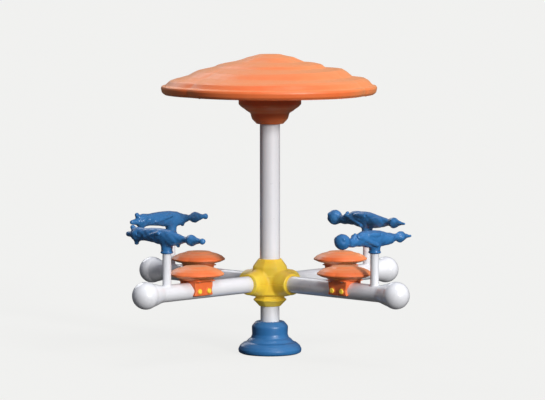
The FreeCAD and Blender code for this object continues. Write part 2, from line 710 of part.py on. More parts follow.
def build_canopy():
    top = cell("canopy_top")
    tip = cell("canopy_radius")
    tip_height = cell("canopy_tip_height")
    bottom = cell("canopy_bottom")
    wall = cell("canopy_wall")
    soffit_top = bottom + cell("soffit_thick")
    levels = [(tip - 16, soffit_top), (tip - 6, tip_height - 20), (tip, tip_height),
              (tip - 3, tip_height + 10), (tip - 14, tip_height + 22), (565, top - 138),
              (492, top - 129), (468, top - 120), (440, top - 90), (425, top - 82),
              (340, top - 79), (322, top - 70), (298, top - 52), (280, top - 47), (205, top - 43),
              (180, top - 33), (140, top - 22), (125, top - 15), (80, top - 6), (66, top - 1),
              (50, top)]
    lining = [(tip - 22, soffit_top - 1), (tip - 22, tip_height - 20), (tip - 11, tip_height),
              (tip - 14, tip_height + 5), (tip - 24, tip_height + 16), (563, top - 138 - wall),
              (489, top - 129 - wall), (464, top - 120 - wall), (436, top - 90 - wall),
              (421, top - 82 - wall), (338, top - 79 - wall), (318, top - 70 - wall),
              (294, top - 52 - wall), (279, top - 47 - wall), (204, top - 43 - wall),
              (178, top - 33 - wall), (138, top - 22 - wall), (124, top - 15 - wall),
              (79, top - 6 - wall), (50, top - wall)]
    rim_hole = rod(2.5 + FASTENER_GAP, 20, (cell("rim_screw_radius"), 0, bottom - 5))
    rim_holes = ring_of(rim_hole, 12, 15)
    outside = doc.addObject("Part::Feature", "HoodOutside")
    outside.Shape = lobed_solid(levels)
    inside = doc.addObject("Part::Feature", "HoodInside")
    inside.Shape = lobed_solid(lining)
    lip = doc.addObject("Part::Feature", "HoodLip")
    lip_outer = lobed_solid([(tip - 18, soffit_top), (tip - 18, soffit_top + wall)])
    lip_inner = lobed_solid([(cell("lip_inner_radius"), soffit_top - 1),
                             (cell("lip_inner_radius"), soffit_top + wall + 1)])
    lip.Shape = lip_outer.cut(lip_inner)
    node("canopy_hood", cut(fuse(cut(outside, inside), lip), *rim_holes))

    bolt_hole = rod(4 + FASTENER_GAP, 60, (cell("canopy_bolt_radius"), 0, bottom - 20))
    bolt_holes = ring_of(bolt_hole, 6)
    sleeve = cell("frame_sleeve_radius")
    pan = doc.addObject("Part::Feature", "Pan")
    pan.Shape = lobed_solid([(tip - 20, bottom), (tip - 18, soffit_top)])
    post_hole = rod(sleeve + 1, 20, (0, 0, bottom - 5))
    node("canopy_soffit", cut(pan, post_hole, *(bolt_holes + rim_holes)))

    rim_screw = screw(2.5, 9, 5, 3, (cell("rim_screw_radius"), 0, bottom), UPSIDE_DOWN)
    node("rim_screws", group(ring_of(rim_screw, 12, 15)))

    width = cell("frame_arm_width")
    post = cell("post_radius")
    tube_wall = cell("frame_arm_wall")
    reach = cell("frame_arm_reach")
    bar = block(reach, width, width, (reach * 0.5, 0, soffit_top))
    bar_bore = block(reach, width - tube_wall * 2, width - tube_wall * 2,
                     (reach * 0.5 + 1, 0, soffit_top + tube_wall))
    spoke = cut(bar, bar_bore)
    collar = rod(sleeve, cell("post_top") - cell("frame_sleeve_bottom"),
                 (0, 0, cell("frame_sleeve_bottom")))
    post_bore = rod(post, 200, (0, 0, cell("frame_sleeve_bottom") - 20))
    frame = fuse(collar, *ring_of(spoke, 6))
    node("canopy_frame", cut(frame, post_bore, *bolt_holes))

    canopy_bolt = screw(4, 34, 8, 5, (cell("canopy_bolt_radius"), 0, bottom - 6), UPSIDE_DOWN)
    node("canopy_bolts", group(ring_of(canopy_bolt, 6)))
    build_funnel(bottom, bolt_holes)


def build_funnel(bottom, bolt_holes):
    """The stepped funnel that hides the top of the post, bolted up through its own flange."""
    foot = cell("funnel_foot")
    foot_radius = cell("funnel_foot_radius")
    mouth = cell("funnel_top_radius")
    wall = cell("funnel_wall")
    flange_inner = cell("funnel_flange_inner")
    opening = cell("post_radius") + 0.3
    funnel = turned([(opening, foot), (foot_radius, foot), (100, foot + 26), (103, foot + 30),
                     (111, foot + 58), (114, foot + 62), (137, foot + 76), (166, foot + 98),
                     (mouth - 3, foot + 106), (mouth, foot + 114), (mouth, bottom),
                     (flange_inner, bottom), (flange_inner, bottom - 6),
                     (mouth - wall, bottom - 6), (mouth - wall, foot + 116),
                     (163, foot + 103), (133, foot + 81), (110, foot + 68), (106, foot + 60),
                     (98, foot + 32), (95, foot + 29), (foot_radius - 4, foot + wall),
                     (opening, foot + wall)])
    node("canopy_funnel", cut(funnel, *bolt_holes))


# ------------------------------------------------------------------------------------------------
# Build, check and write
# ------------------------------------------------------------------------------------------------
def check_document():
    doc.recompute()
    broken = [item.Label for item in doc.Objects
              if "Invalid" in item.State or "Error" in item.State]
    if broken:
        raise RuntimeError("failed objects: " + ", ".join(broken))
    for item in nodes:
        if item.Shape.isNull() or not item.Shape.isValid() or not item.Shape.Solids:
            raise RuntimeError("bad shape: " + item.Label)


def write_parts():
    os.makedirs("parts", exist_ok=True)
    for item in nodes:
        item.Shape.exportStep(os.path.join("parts", item.Label + ".step"))
        print("%-20s %2d solids %12.0f mm3" % (item.Label, len(item.Shape.Solids),
                                               item.Shape.Volume))


build_base()
build_base_cover()
build_bearings()
build_housing()
build_hub_shell()
build_arms()
build_seats()
build_grips()
build_canopy()
check_document()
write_parts()
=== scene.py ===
import json
import math
from itertools import product

import bpy
import numpy as np
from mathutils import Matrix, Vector


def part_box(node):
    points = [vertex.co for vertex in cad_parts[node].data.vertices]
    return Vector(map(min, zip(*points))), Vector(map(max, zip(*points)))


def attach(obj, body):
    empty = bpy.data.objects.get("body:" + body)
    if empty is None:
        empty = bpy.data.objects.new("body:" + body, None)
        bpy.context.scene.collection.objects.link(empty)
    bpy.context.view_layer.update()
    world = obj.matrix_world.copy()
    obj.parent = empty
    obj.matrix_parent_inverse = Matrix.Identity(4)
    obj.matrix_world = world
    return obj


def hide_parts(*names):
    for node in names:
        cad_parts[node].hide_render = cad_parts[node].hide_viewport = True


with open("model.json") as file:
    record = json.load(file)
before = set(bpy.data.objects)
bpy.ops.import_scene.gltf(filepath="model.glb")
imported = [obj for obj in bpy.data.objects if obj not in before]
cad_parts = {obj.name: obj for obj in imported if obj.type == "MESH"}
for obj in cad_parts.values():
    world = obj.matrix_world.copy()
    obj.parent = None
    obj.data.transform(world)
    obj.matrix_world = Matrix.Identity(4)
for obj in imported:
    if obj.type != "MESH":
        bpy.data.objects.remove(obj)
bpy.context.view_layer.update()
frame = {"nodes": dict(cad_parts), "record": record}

# A playground merry-go-round. Everything is in metres; +Z is up and the spin axis is the Z axis.
# Outlines are drawn in millimetres and scaled by MM. Places come from the boxes of the CAD nodes.

MM = 0.001
CAROUSEL = "carousel"
BASE = "base"


# ------------------------------------------------------------------------------------------------
# Places read from the frame
# ------------------------------------------------------------------------------------------------
def middle_of(node):
    low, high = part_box(node)
    return (Vector(low) + Vector(high)) * 0.5


def bearing_of(node):
    """Angle round the spin axis, in radians from +X."""
    at = middle_of(node)
    return math.atan2(at.y, at.x)


ARMS = (1, 2, 3, 4)
arm_bearing = {k: bearing_of(f"ball_end_{k}") for k in ARMS}
grip_post_reach = {k: middle_of(f"grip_post_{k}").to_2d().length for k in ARMS}
seat_reach = {k: middle_of(f"seat_{k}").to_2d().length for k in ARMS}
shell_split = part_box("hub_shell_upper")[0].z          # the arms' mid plane
arm_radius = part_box("hub_shell_upper")[0].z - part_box("arm_tube_1")[0].z
post_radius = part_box("upper_post")[1].x
stub_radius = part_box("stub_post")[1].x
canopy_low, canopy_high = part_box("canopy_hood")
cover_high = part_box("base_cover")[1]


# ------------------------------------------------------------------------------------------------
# Mesh makers
# ------------------------------------------------------------------------------------------------
def new_piece(name, vertices, faces, material, body, replaced=()):
    """A smooth-shaded mesh piece that rides a body, and may stand for CAD nodes."""
    mesh = bpy.data.meshes.new(name)
    mesh.from_pydata([tuple(v) for v in vertices], [], faces)
    mesh.validate()
    mesh.shade_smooth()
    piece = bpy.data.objects.new(name, mesh)
    bpy.context.scene.collection.objects.link(piece)
    mesh.materials.append(material)
    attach(piece, body)
    if replaced:
        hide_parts(*replaced)
    return piece


def turned_to(points, bearing):
    """Points turned about the spin axis by a bearing."""
    c, s = math.cos(bearing), math.sin(bearing)
    points = np.asarray(points, float)
    x, y = points[:, 0], points[:, 1]
    return np.column_stack([x * c - y * s, x * s + y * c, points[:, 2]])


def rounded_outline(corners, arc_steps=6, closed=True):
    """A polyline with its corners rounded. Each corner is (radius, height, fillet) in millimetres."""
    points = []
    count = len(corners)
    for k, (r, z, fillet) in enumerate(corners):
        here = Vector((r, z))
        ends = not closed and k in (0, count - 1)
        if fillet == 0 or ends:
            points.append(here)
            continue
        before = Vector(corners[k - 1][:2]) - here
        after = Vector(corners[(k + 1) % count][:2]) - here
        turn = math.pi - before.angle(after)
        cut = min(fillet * math.tan(turn / 2), before.length * 0.48, after.length * 0.48)
        start = here + before.normalized() * cut
        end = here + after.normalized() * cut
        for step in range(arc_steps + 1):
            t = step / arc_steps
            points.append(start * (1 - t) ** 2 + here * 2 * t * (1 - t) + end * t ** 2)
    return [(p.x, p.y) for p in points]


def divided(outline, longest, closed=True):
    """The same outline with extra points, so that no side is over a given length."""
    points = []
    count = len(outline) if closed else len(outline) - 1
    for k in range(count):
        a = Vector(outline[k])
        b = Vector(outline[(k + 1) % len(outline)])
        parts = max(1, math.ceil((b - a).length / longest))
        points += [a.lerp(b, j / parts) for j in range(parts)]
    if not closed:
        points.append(Vector(outline[-1]))
    return [(p.x, p.y) for p in points]


def lathe(outline, segments, reshape=None):
    """Vertices and faces of a closed outline turned about Z. Corners on the axis become poles."""
    vertices = []
    rings = []
    for r, z in outline:
        if abs(r) < 1e-6:
            vertices.append((0.0, 0.0, z * MM))
            rings.append([len(vertices) - 1] * segments)
            continue
        ring = []
        for k in range(segments):
            angle = 2 * math.pi * k / segments
            radius, height = reshape(angle, r, z) if reshape else (r, z)
            vertices.append((radius * math.cos(angle) * MM, radius * math.sin(angle) * MM, height * MM))
            ring.append(len(vertices) - 1)
        rings.append(ring)
    faces = []
    for k in range(len(rings)):
        lower, upper = rings[k], rings[(k + 1) % len(rings)]
        for j in range(segments):
            i = (j + 1) % segments
            corners = []
            for index in (lower[j], lower[i], upper[i], upper[j]):
                if index not in corners:
                    corners.append(index)
            if len(corners) >= 3:
                faces.append(corners)
    return vertices, faces


def surface_of(field, low, high, step):
    """The zero level of a distance field, as quads: surface nets, then moved onto the level."""
    low = np.array(low, float)
    counts = [int(math.ceil((h - l) / step)) + 1 for l, h in zip(low, high)]
    axes = [low[a] + step * np.arange(counts[a]) for a in range(3)]
    grid = np.stack(np.meshgrid(*axes, indexing="ij"), axis=-1)
    values = field(grid.reshape(-1, 3)).reshape(counts)
    inside = values < 0
    cells = [n - 1 for n in counts]

    def corner(array, offset):
        return array[tuple(slice(o, o + n) for o, n in zip(offset, cells))]

    filled = sum(corner(inside, o).astype(np.int8) for o in product((0, 1), repeat=3))
    active = (filled > 0) & (filled < 8)
    cell_at = np.argwhere(active)
    number = np.full(cells, -1)
    number[active] = np.arange(len(cell_at))

    total = np.zeros((len(cell_at), 3))
    hits = np.zeros(len(cell_at))
    for axis in range(3):
        for sides in product((0, 1), repeat=2):
            start = list(sides)
            start.insert(axis, 0)
            end = list(start)
            end[axis] = 1
            a = corner(values, start)[active]
            b = corner(values, end)[active]
            crossed = (a < 0) != (b < 0)
            share = np.where(crossed, a / np.where(crossed, a - b, 1), 0)
            at = np.tile(np.array(start, float), (len(a), 1))
            at[:, axis] = share
            total[crossed] += at[crossed]
            hits[crossed] += 1
    vertices = low + step * (cell_at + total / hits[:, None])

    faces = []
    for axis in range(3):
        ahead = np.roll(inside, -1, axis=axis)
        span = [slice(1, n - 1) for n in counts]
        span[axis] = slice(0, counts[axis] - 1)
        here = inside[tuple(span)]
        there = ahead[tuple(span)]
        base = np.array([s.start for s in span])
        u, v = [a for a in range(3) if a != axis]
        for crossing, flip in ((here & ~there, axis == 1), (~here & there, axis != 1)):
            at = np.argwhere(crossing) + base
            ring = []
            for du, dv in ((0, 0), (-1, 0), (-1, -1), (0, -1)):
                cell = at.copy()
                cell[:, u] += du
                cell[:, v] += dv
                ring.append(number[tuple(cell.T)])
            quads = np.column_stack(ring if flip else ring[::-1])
            faces.append(quads)
    faces = np.concatenate(faces)
    vertices = settle(vertices, field, step)
    return vertices, faces.tolist()


def settle(vertices, field, step):
    """Move vertices along the field's slope until they lie on its zero level."""
    reach = step * 0.1
    for _ in range(3):
        value = field(vertices)
        slope = np.empty_like(vertices)
        for axis in range(3):
            nudge = np.zeros(3)
            nudge[axis] = reach
            slope[:, axis] = (field(vertices + nudge) - field(vertices - nudge)) / (2 * reach)
        steepness = np.maximum((slope ** 2).sum(axis=1), 0.05)
        move = (value / steepness)[:, None] * slope
        length = np.linalg.norm(move, axis=1, keepdims=True)
        vertices = vertices - move * np.minimum(1, step * 0.4 / np.maximum(length, 1e-9))
    return vertices


# ------------------------------------------------------------------------------------------------
# Distance fields, in millimetres. p is an array of points, one per row.
# ------------------------------------------------------------------------------------------------
def blend_union(a, b, soft):
    share = np.clip(0.5 + 0.5 * (b - a) / soft, 0, 1)
    return b * (1 - share) + a * share - soft * share * (1 - share)


def blend_cut(a, b, soft):
    """a less b, with the edge between them rounded."""
    return -blend_union(-a, b, soft)


def blend_common(a, b, soft):
    return -blend_union(-a, -b, soft)


def ball(p, centre, radius):
    return np.linalg.norm(p - np.array(centre, float), axis=1) - radius


def spindle(p, start, end, start_radius, end_radius):
    """A round rod whose radius runs from one end to the other."""
    start = np.array(start, float)
    run = np.array(end, float) - start
    share = np.clip((p - start) @ run / (run @ run), 0, 1)
    nearest = start + share[:, None] * run
    return np.linalg.norm(p - nearest, axis=1) - (start_radius + share * (end_radius - start_radius))


def egg(p, centre, radii):
    """An ellipsoid."""
    scaled = (p - np.array(centre, float)) / np.array(radii, float)
    near = np.linalg.norm(scaled, axis=1)
    slope = np.linalg.norm(scaled / np.array(radii, float), axis=1)
    return near * (near - 1) / np.maximum(slope, 1e-9)


def brick(p, centre, half, edge):
    """A box with rounded edges."""
    q = np.abs(p - np.array(centre, float)) - (np.array(half, float) - edge)
    return (np.linalg.norm(np.maximum(q, 0), axis=1) + np.minimum(q.max(axis=1), 0)) - edge


def around(p, axis, centre=(0, 0, 0)):
    """Distance from a line through centre along one of the axes."""
    others = [a for a in range(3) if a != axis]
    q = p - np.array(centre, float)
    return np.hypot(q[:, others[0]], q[:, others[1]])


def smooth_curve(at, places, values):
    """Values of a smooth curve through (place, value) pairs."""
    slopes = np.gradient(values, places)
    k = np.clip(np.searchsorted(places, at) - 1, 0, len(places) - 2)
    span = places[k + 1] - places[k]
    t = (at - places[k]) / span
    return (values[k] * (1 + 2 * t) * (1 - t) ** 2 + slopes[k] * span * t * (1 - t) ** 2
            + values[k + 1] * t * t * (3 - 2 * t) + slopes[k + 1] * span * t * t * (t - 1))


def long_body(p, stations, z):
    """A body along Y with upright elliptic sections: (along, up, half height, half width)."""
    along, up, tall, wide = np.array(stations, float).T
    at = np.clip(p[:, 1], along[0], along[-1])
    centre, height, width = (smooth_curve(at, along, values) for values in (up, tall, wide))
    across = p[:, 0]
    rise = p[:, 2] - z - centre
    near = np.sqrt((across / width) ** 2 + (rise / height) ** 2)
    slope = np.sqrt((across / width ** 2) ** 2 + (rise / height ** 2) ** 2)
    flat = near * (near - 1) / np.maximum(slope, 1e-6)
    beyond = np.abs(p[:, 1] - at)
    return np.where(beyond > 0, np.hypot(np.maximum(flat, 0), beyond), flat)


# ------------------------------------------------------------------------------------------------
# Materials
# ------------------------------------------------------------------------------------------------
def material_of(name):
    material = bpy.data.materials.new(name)
    material.use_nodes = True
    nodes = material.node_tree.nodes
    return material, nodes, material.node_tree.links, nodes["Principled BSDF"]


def noise(nodes, links, coordinates, scale, detail=4.0, roughness=0.5):
    node = nodes.new("ShaderNodeTexNoise")
    node.inputs["Scale"].default_value = scale
    node.inputs["Detail"].default_value = detail
    node.inputs["Roughness"].default_value = roughness
    links.new(coordinates, node.inputs["Vector"])
    return node.outputs["Fac"]


def remap(nodes, links, value, low, high, to_low, to_high):
    node = nodes.new("ShaderNodeMapRange")
    node.inputs["From Min"].default_value = low
    node.inputs["From Max"].default_value = high
    node.inputs["To Min"].default_value = to_low
    node.inputs["To Max"].default_value = to_high
    links.new(value, node.inputs["Value"])
    return node.outputs["Result"]


def mixed(nodes, links, share, first, second):
    """Mix of two colours. Each is a colour or a socket."""
    node = nodes.new("ShaderNodeMix")
    node.data_type = "RGBA"
    links.new(share, node.inputs["Factor"])
    for socket, colour in ((node.inputs[6], first), (node.inputs[7], second)):
        if isinstance(colour, tuple):
            socket.default_value = (*colour, 1)
        else:
            links.new(colour, socket)
    return node.outputs[2]


def shifted(colour, factor):
    return tuple(min(1.0, channel * factor) for channel in colour)


def bumped(nodes, links, shader, height, strength, distance):
    node = nodes.new("ShaderNodeBump")
    node.inputs["Strength"].default_value = strength
    node.inputs["Distance"].default_value = distance
    links.new(height, node.inputs["Height"])
    links.new(node.outputs["Normal"], shader.inputs["Normal"])


def object_coordinates(nodes):
    return nodes.new("ShaderNodeTexCoord").outputs["Object"]


def moulded_plastic(name, colour, faded, painted_grazing_colour, gloss, painted_glow=0.0):
    """Rotation-moulded polyethylene: faint mottle, fine grain, rubbed patches, and a colour painted in
    towards grazing angles: lighter as a painted sheen, darker as painted shade.
    painted_glow is the strength of a painted glow in the plastic's own colour, which lifts its shaded
    sides."""
    material, nodes, links, shader = material_of(name)
    at = object_coordinates(nodes)
    mottle = noise(nodes, links, at, 9, 5, 0.55)
    tint = mixed(nodes, links, remap(nodes, links, mottle, 0.3, 0.7, 0, 1), colour, faded)
    specks = noise(nodes, links, at, 420, 2, 0.6)
    dust = remap(nodes, links, specks, 0.62, 0.8, 0, 0.25)
    dusted = mixed(nodes, links, dust, tint, shifted(faded, 1.25))
    # A colour painted in towards grazing angles: painted sheen where it is lighter than the plastic,
    # painted shade where it is darker.
    facing = nodes.new("ShaderNodeLayerWeight")
    facing.inputs["Blend"].default_value = 0.5
    painted_grazing_share = remap(nodes, links, facing.outputs["Facing"], 0.35, 0.95, 0, 0.8)
    base = mixed(nodes, links, painted_grazing_share, dusted, painted_grazing_colour)
    edges = nodes.new("ShaderNodeNewGeometry").outputs["Pointiness"]
    worn = remap(nodes, links, edges, 0.52, 0.6, 0, 0.3)
    links.new(mixed(nodes, links, worn, base, shifted(faded, 1.3)), shader.inputs["Base Color"])
    rub = noise(nodes, links, at, 26, 6, 0.6)
    links.new(remap(nodes, links, rub, 0.35, 0.75, gloss - 0.05, gloss + 0.14),
              shader.inputs["Roughness"])
    grain = noise(nodes, links, at, 900, 3, 0.5)
    bumped(nodes, links, shader, grain, 0.12, 0.0006)
    shader.inputs["Specular IOR Level"].default_value = 0.5
    shader.inputs["Coat Weight"].default_value = 0.12
    shader.inputs["Coat Roughness"].default_value = 0.24
    # Painted glow: the plastic emits light in its own colour, though it is no lamp.
    shader.inputs["Emission Color"].default_value = (*colour, 1)
    shader.inputs["Emission Strength"].default_value = painted_glow
    return material


def powder_coat(name, colour, shade):
    """White powder coat on steel: orange-peel skin, faint grime in the mottle, small chips."""
    material, nodes, links, shader = material_of(name)
    at = object_coordinates(nodes)
    grime = noise(nodes, links, at, 6, 6, 0.6)
    tint = mixed(nodes, links, remap(nodes, links, grime, 0.5, 0.9, 0, 0.7), colour, shade)
    chips = noise(nodes, links, at, 55, 8, 0.72)
    chip = remap(nodes, links, chips, 0.80, 0.81, 0, 1)
    links.new(mixed(nodes, links, chip, tint, (0.36, 0.36, 0.38)), shader.inputs["Base Color"])
    rub = noise(nodes, links, at, 30, 5, 0.6)
    links.new(remap(nodes, links, rub, 0.3, 0.7, 0.27, 0.33), shader.inputs["Roughness"])
    peel = noise(nodes, links, at, 260, 2, 0.4)
    bumped(nodes, links, shader, peel, 0.05, 0.0006)
    shader.inputs["Specular IOR Level"].default_value = 1.0
    shader.inputs["Coat Weight"].default_value = 1.0
    shader.inputs["Coat Roughness"].default_value = 0.22
    return material


def bare_metal(name, colour, dark, scale, gloss, lines=0.15):
    """Uncoated metal with a fine tooled or spangled surface."""
    material, nodes, links, shader = material_of(name)
    at = object_coordinates(nodes)
    spangle = nodes.new("ShaderNodeTexVoronoi")
    spangle.inputs["Scale"].default_value = scale
    links.new(at, spangle.inputs["Vector"])
    share = remap(nodes, links, spangle.outputs["Distance"], 0, 0.7, 0, 1)
    links.new(mixed(nodes, links, share, colour, dark), shader.inputs["Base Color"])
    rub = noise(nodes, links, at, scale * 3, 4, 0.6)
    links.new(remap(nodes, links, rub, 0.3, 0.7, gloss - 0.08, gloss + 0.12),
              shader.inputs["Roughness"])
    bumped(nodes, links, shader, rub, lines, 0.0003)
    shader.inputs["Metallic"].default_value = 1
    return material


def seal_rubber(name):
    material, nodes, links, shader = material_of(name)
    at = object_coordinates(nodes)
    bloom = noise(nodes, links, at, 80, 4)
    links.new(mixed(nodes, links, bloom, (0.012, 0.012, 0.013), (0.05, 0.05, 0.052)),
              shader.inputs["Base Color"])
    links.new(remap(nodes, links, bloom, 0.3, 0.7, 0.6, 0.8), shader.inputs["Roughness"])
    bumped(nodes, links, shader, noise(nodes, links, at, 700), 0.2, 0.0004)
    return material


ORANGE = (0.88, 0.165, 0.038)
BLUE = (0.026, 0.155, 0.40)
YELLOW = (0.98, 0.74, 0.07)
WHITE = (0.85, 0.86, 0.90)

# Each plastic's third colour is painted in at grazing angles: a painted sheen on the orange, painted
# shade on the blue and on the yellow.
orange = moulded_plastic("orange_moulding", ORANGE, (0.88, 0.20, 0.055), (0.94, 0.405, 0.15), 0.47)
blue = moulded_plastic("blue_moulding", BLUE, (0.036, 0.18, 0.43), (0.014, 0.09, 0.27), 0.34)
# The yellow has a painted glow that lifts its shaded sides.
yellow = moulded_plastic("yellow_moulding", YELLOW, (0.93, 0.56, 0.03), (0.86, 0.48, 0.02), 0.36,
                         painted_glow=0.09)
white = powder_coat("white_powder_coat", WHITE, (0.79, 0.80, 0.84))
galvanised = bare_metal("galvanised_steel", (0.60, 0.62, 0.64), (0.44, 0.46, 0.48), 90, 0.45)
turned_steel = bare_metal("turned_steel", (0.56, 0.56, 0.58), (0.42, 0.42, 0.44), 300, 0.3)
stainless = bare_metal("stainless_steel", (0.66, 0.66, 0.68), (0.55, 0.55, 0.57), 400, 0.28)
bearing = bare_metal("bearing_steel", (0.70, 0.70, 0.72), (0.62, 0.62, 0.64), 500, 0.15, 0.05)
brass = bare_metal("cage_brass", (0.74, 0.55, 0.24), (0.60, 0.42, 0.16), 300, 0.3)
rubber = seal_rubber("seal_rubber_black")

MATERIAL_OF_SLOT = {
    "white_paint": white, "blue_plastic": blue, "yellow_plastic": yellow, "orange_plastic": orange,
    "galvanised_steel": galvanised, "turned_steel": turned_steel, "stainless_fasteners": stainless,
    "bearing_steel": bearing, "cage_brass": brass, "seal_rubber": rubber,
}


def dress_cad_nodes():
    """Every CAD node gets the finish of its slot."""
    for row in frame["record"]["subparts"]:
        piece = frame["nodes"][row["node"]]
        piece.data.materials.clear()
        piece.data.materials.append(MATERIAL_OF_SLOT[row["material_slot"]])


# ------------------------------------------------------------------------------------------------
# Base cover
# ------------------------------------------------------------------------------------------------
def make_base_cover():
    """A bell: rounded crown, slight waist, two swelling rings, and a skirt that rolls under."""
    top = cover_high.z / MM
    rim = cover_high.x / MM
    neck = stub_radius / MM + 0.6
    wall = 4
    corners = [(neck, top - wall, 1), (neck, top, 1.5), (80, top, 14), (103.5, top - 27, 22),
               (101.5, top - 74, 16), (108, top - 92, 9), (123, top - 103, 11), (134, top - 116, 9),
               (153, top - 123, 14), (171, top - 139, 18), (rim + 1.5, 24, 14), (rim - 3, 7, 10),
               (162, 0.2, 6), (154, 0.2, 1.5), (rim - 9, 9, 8), (rim - 5, 24, 12),
               (167, top - 143, 16), (150, top - 127, 12), (131, top - 120, 9), (119, top - 107, 9),
               (104, top - 95, 8), (97.5, top - 74, 14), (99.5, top - 28, 18), (78, top - wall, 12)]
    outline = divided(rounded_outline(corners, 8), 6)

    def kept_in(angle, r, z):
        return min(r, rim), z

    vertices, faces = lathe(outline, 160, kept_in)
    new_piece("bell_cover", vertices, faces[::-1], blue, BASE, ["base_cover"])


# ------------------------------------------------------------------------------------------------
# Hub shell
# ------------------------------------------------------------------------------------------------
# The drum's (height, radius), and the horns' half height and widening, each at a distance along the arm.
MOUTH_AT = 181
HUB_PROFILE = [(266, 57), (271, 61), (299, 88), (305, 95), (309, 96), (313, 91), (318, 84.5),
               (331, 84.5), (337, 96), (340, 106), (345, 109), (438, 109), (446, 108), (452, 102.5),
               (495, 99), (503, 95), (540, 68), (548, 60)]
HORN_RISE = [(60, 56), (80, 63), (103, 72), (125, 71), (150, 65.5), (168, 61.5), (186, 60)]
HORN_SPREAD = [(60, 1.0), (125, 1.0), (150, 1.06), (168, 1.16), (186, 1.26)]


def hub_solid(p, grow):
    """The hub casing's outer form: an eight-sided drum and four horns that open to the arms."""
    split = shell_split / MM
    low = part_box("hub_shell_lower")[0].z / MM
    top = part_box("hub_shell_upper")[1].z / MM
    height = p[:, 2]
    flat = np.hypot(p[:, 0], p[:, 1])
    facet = math.pi / 4
    off_facet = (np.arctan2(p[:, 1], p[:, 0]) + facet / 2) % facet - facet / 2
    reach = flat * (0.5 + 0.5 * np.cos(off_facet)) * 1.02
    places, sides = np.array(HUB_PROFILE, float).T
    drum = (reach - np.interp(height, places, sides) - grow) * 0.8
    drum = blend_common(drum, np.maximum(height - top, low - height) - grow, 4)
    along = (np.abs(p[:, 0]) + np.abs(p[:, 1])) * math.sqrt(0.5)
    across = (np.abs(p[:, 0]) - np.abs(p[:, 1])) * math.sqrt(0.5)
    at = np.clip(along, HORN_RISE[0][0], HORN_RISE[-1][0])
    rise, spread = (smooth_curve(at, *np.array(table, float).T) for table in (HORN_RISE, HORN_SPREAD))
    horn = np.hypot(across / spread, height - split) - rise
    horn = blend_common(horn - grow, along - MOUTH_AT - grow, 7)
    return blend_union(drum, horn, 18)


def hub_shell(p, upper):
    """One half of the hub casing: a wall of even thickness with its openings."""
    split = shell_split / MM
    wall = 6
    parting = 0.15
    shell = np.maximum(hub_solid(p, 0), -hub_solid(p, -wall))
    height = p[:, 2]
    q = np.column_stack([np.abs(p[:, 0]), np.abs(p[:, 1])])
    across = (q[:, 0] - q[:, 1]) * math.sqrt(0.5)
    bore = np.hypot(across, height - split) - (arm_radius / MM + 0.4)
    outward = (q[:, 0] + q[:, 1]) * math.sqrt(0.5)
    bore = np.maximum(bore, 60 - outward)
    shell = blend_cut(shell, bore, 2)
    flat = np.hypot(p[:, 0], p[:, 1])
    if upper:
        post = np.maximum(flat - (post_radius / MM + 0.6), 500 - height)
        return blend_common(blend_cut(shell, post, 2), split + parting - height, 0.8)
    stub = np.maximum(flat - (stub_radius / MM + 2.5), height - 320)
    return blend_common(blend_cut(shell, stub, 2), height - split + parting, 0.8)


def make_hub():
    split = shell_split / MM
    reach = 188
    step = 2.2
    for name, upper, low, high in (("upper", True, split - 3, 549), ("lower", False, 266, split + 3)):
        vertices, faces = surface_of(lambda p: hub_shell(p, upper), (-reach, -reach, low),
                                     (reach, reach, high), step)
        new_piece(f"hub_casing_{name}", vertices * MM, faces, yellow, CAROUSEL,
                  [f"hub_shell_{name}"])


# ------------------------------------------------------------------------------------------------
# Arms: ball ends and weld beads
# ------------------------------------------------------------------------------------------------
BALL_WALL = 4
GRIP_POST_RADIUS = 24.15
BEAD_RADIUS = 3.2


def middle_of_ball(k):
    """Distance of a ball's centre from the spin axis."""
    low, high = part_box(f"ball_end_{k}")
    tip = Vector((max(abs(low.x), abs(high.x)), max(abs(low.y), abs(high.y))))
    radius = high.z - shell_split
    return math.hypot(tip.x - radius, tip.y - radius)


def make_ball_ends():
    """A hollow ball whose neck flares out of the arm, turned about the arm's axis."""
    for k in ARMS:
        radius = (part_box(f"ball_end_{k}")[1].z - shell_split) / MM
        centre = middle_of_ball(k) / MM
        bore = arm_radius / MM + 0.3
        flare = [(bore, centre - 115, 0), (bore + 1.2, centre - 115, 0.5), (bore + 2.5, centre - 103, 10),
                 (bore + 8, centre - 84, 14), (bore + 14, centre - 62, 14),
                 (bore + 18.5, centre - 43, 0)]
        outline = rounded_outline(flare, 5, closed=False)
        turns = 40
        first = math.asin((bore + 19.5) / radius)
        for j in range(turns):
            angle = first + (math.pi - first) * j / turns
            outline.append((radius * math.sin(angle), centre - radius * math.cos(angle)))
        outline.append((0, centre + radius))
        inner = radius - BALL_WALL
        last = math.asin(bore / inner)
        outline.append((0, centre + inner))
        for j in range(turns - 1, -1, -1):
            angle = last + (math.pi - last) * j / turns
            outline.append((inner * math.sin(angle), centre - inner * math.cos(angle)))
        vertices, faces = lathe(outline, 96)
        vertices = np.array(vertices)
        along_x = np.column_stack([vertices[:, 2], vertices[:, 1], -vertices[:, 0] + shell_split])
        new_piece(f"arm_ball_{k}", turned_to(along_x, arm_bearing[k]), faces, white, CAROUSEL,
                  [f"ball_end_{k}"])


def bead(path, radius, sides=10):
    """A closed weld bead along a ring of points, with a slight ripple."""
    path = np.asarray(path, float)
    count = len(path)
    vertices = []
    faces = []
    for k in range(count):
        here = path[k]
        tangent = path[(k + 1) % count] - path[k - 1]
        tangent /= np.linalg.norm(tangent)
        outward = np.cross(tangent, (0, 0, 1))
        outward /= np.linalg.norm(outward)
        upward = np.cross(outward, tangent)
        thick = radius * (1 + 0.10 * math.sin(k * 2.4))
        for j in range(sides):
            angle = 2 * math.pi * j / sides
            vertices.append(here + (outward * math.cos(angle) + upward * math.sin(angle)) * thick)
            faces.append([k * sides + j, ((k + 1) % count) * sides + j,
                          ((k + 1) % count) * sides + (j + 1) % sides, k * sides + (j + 1) % sides])
    return np.array(vertices), faces


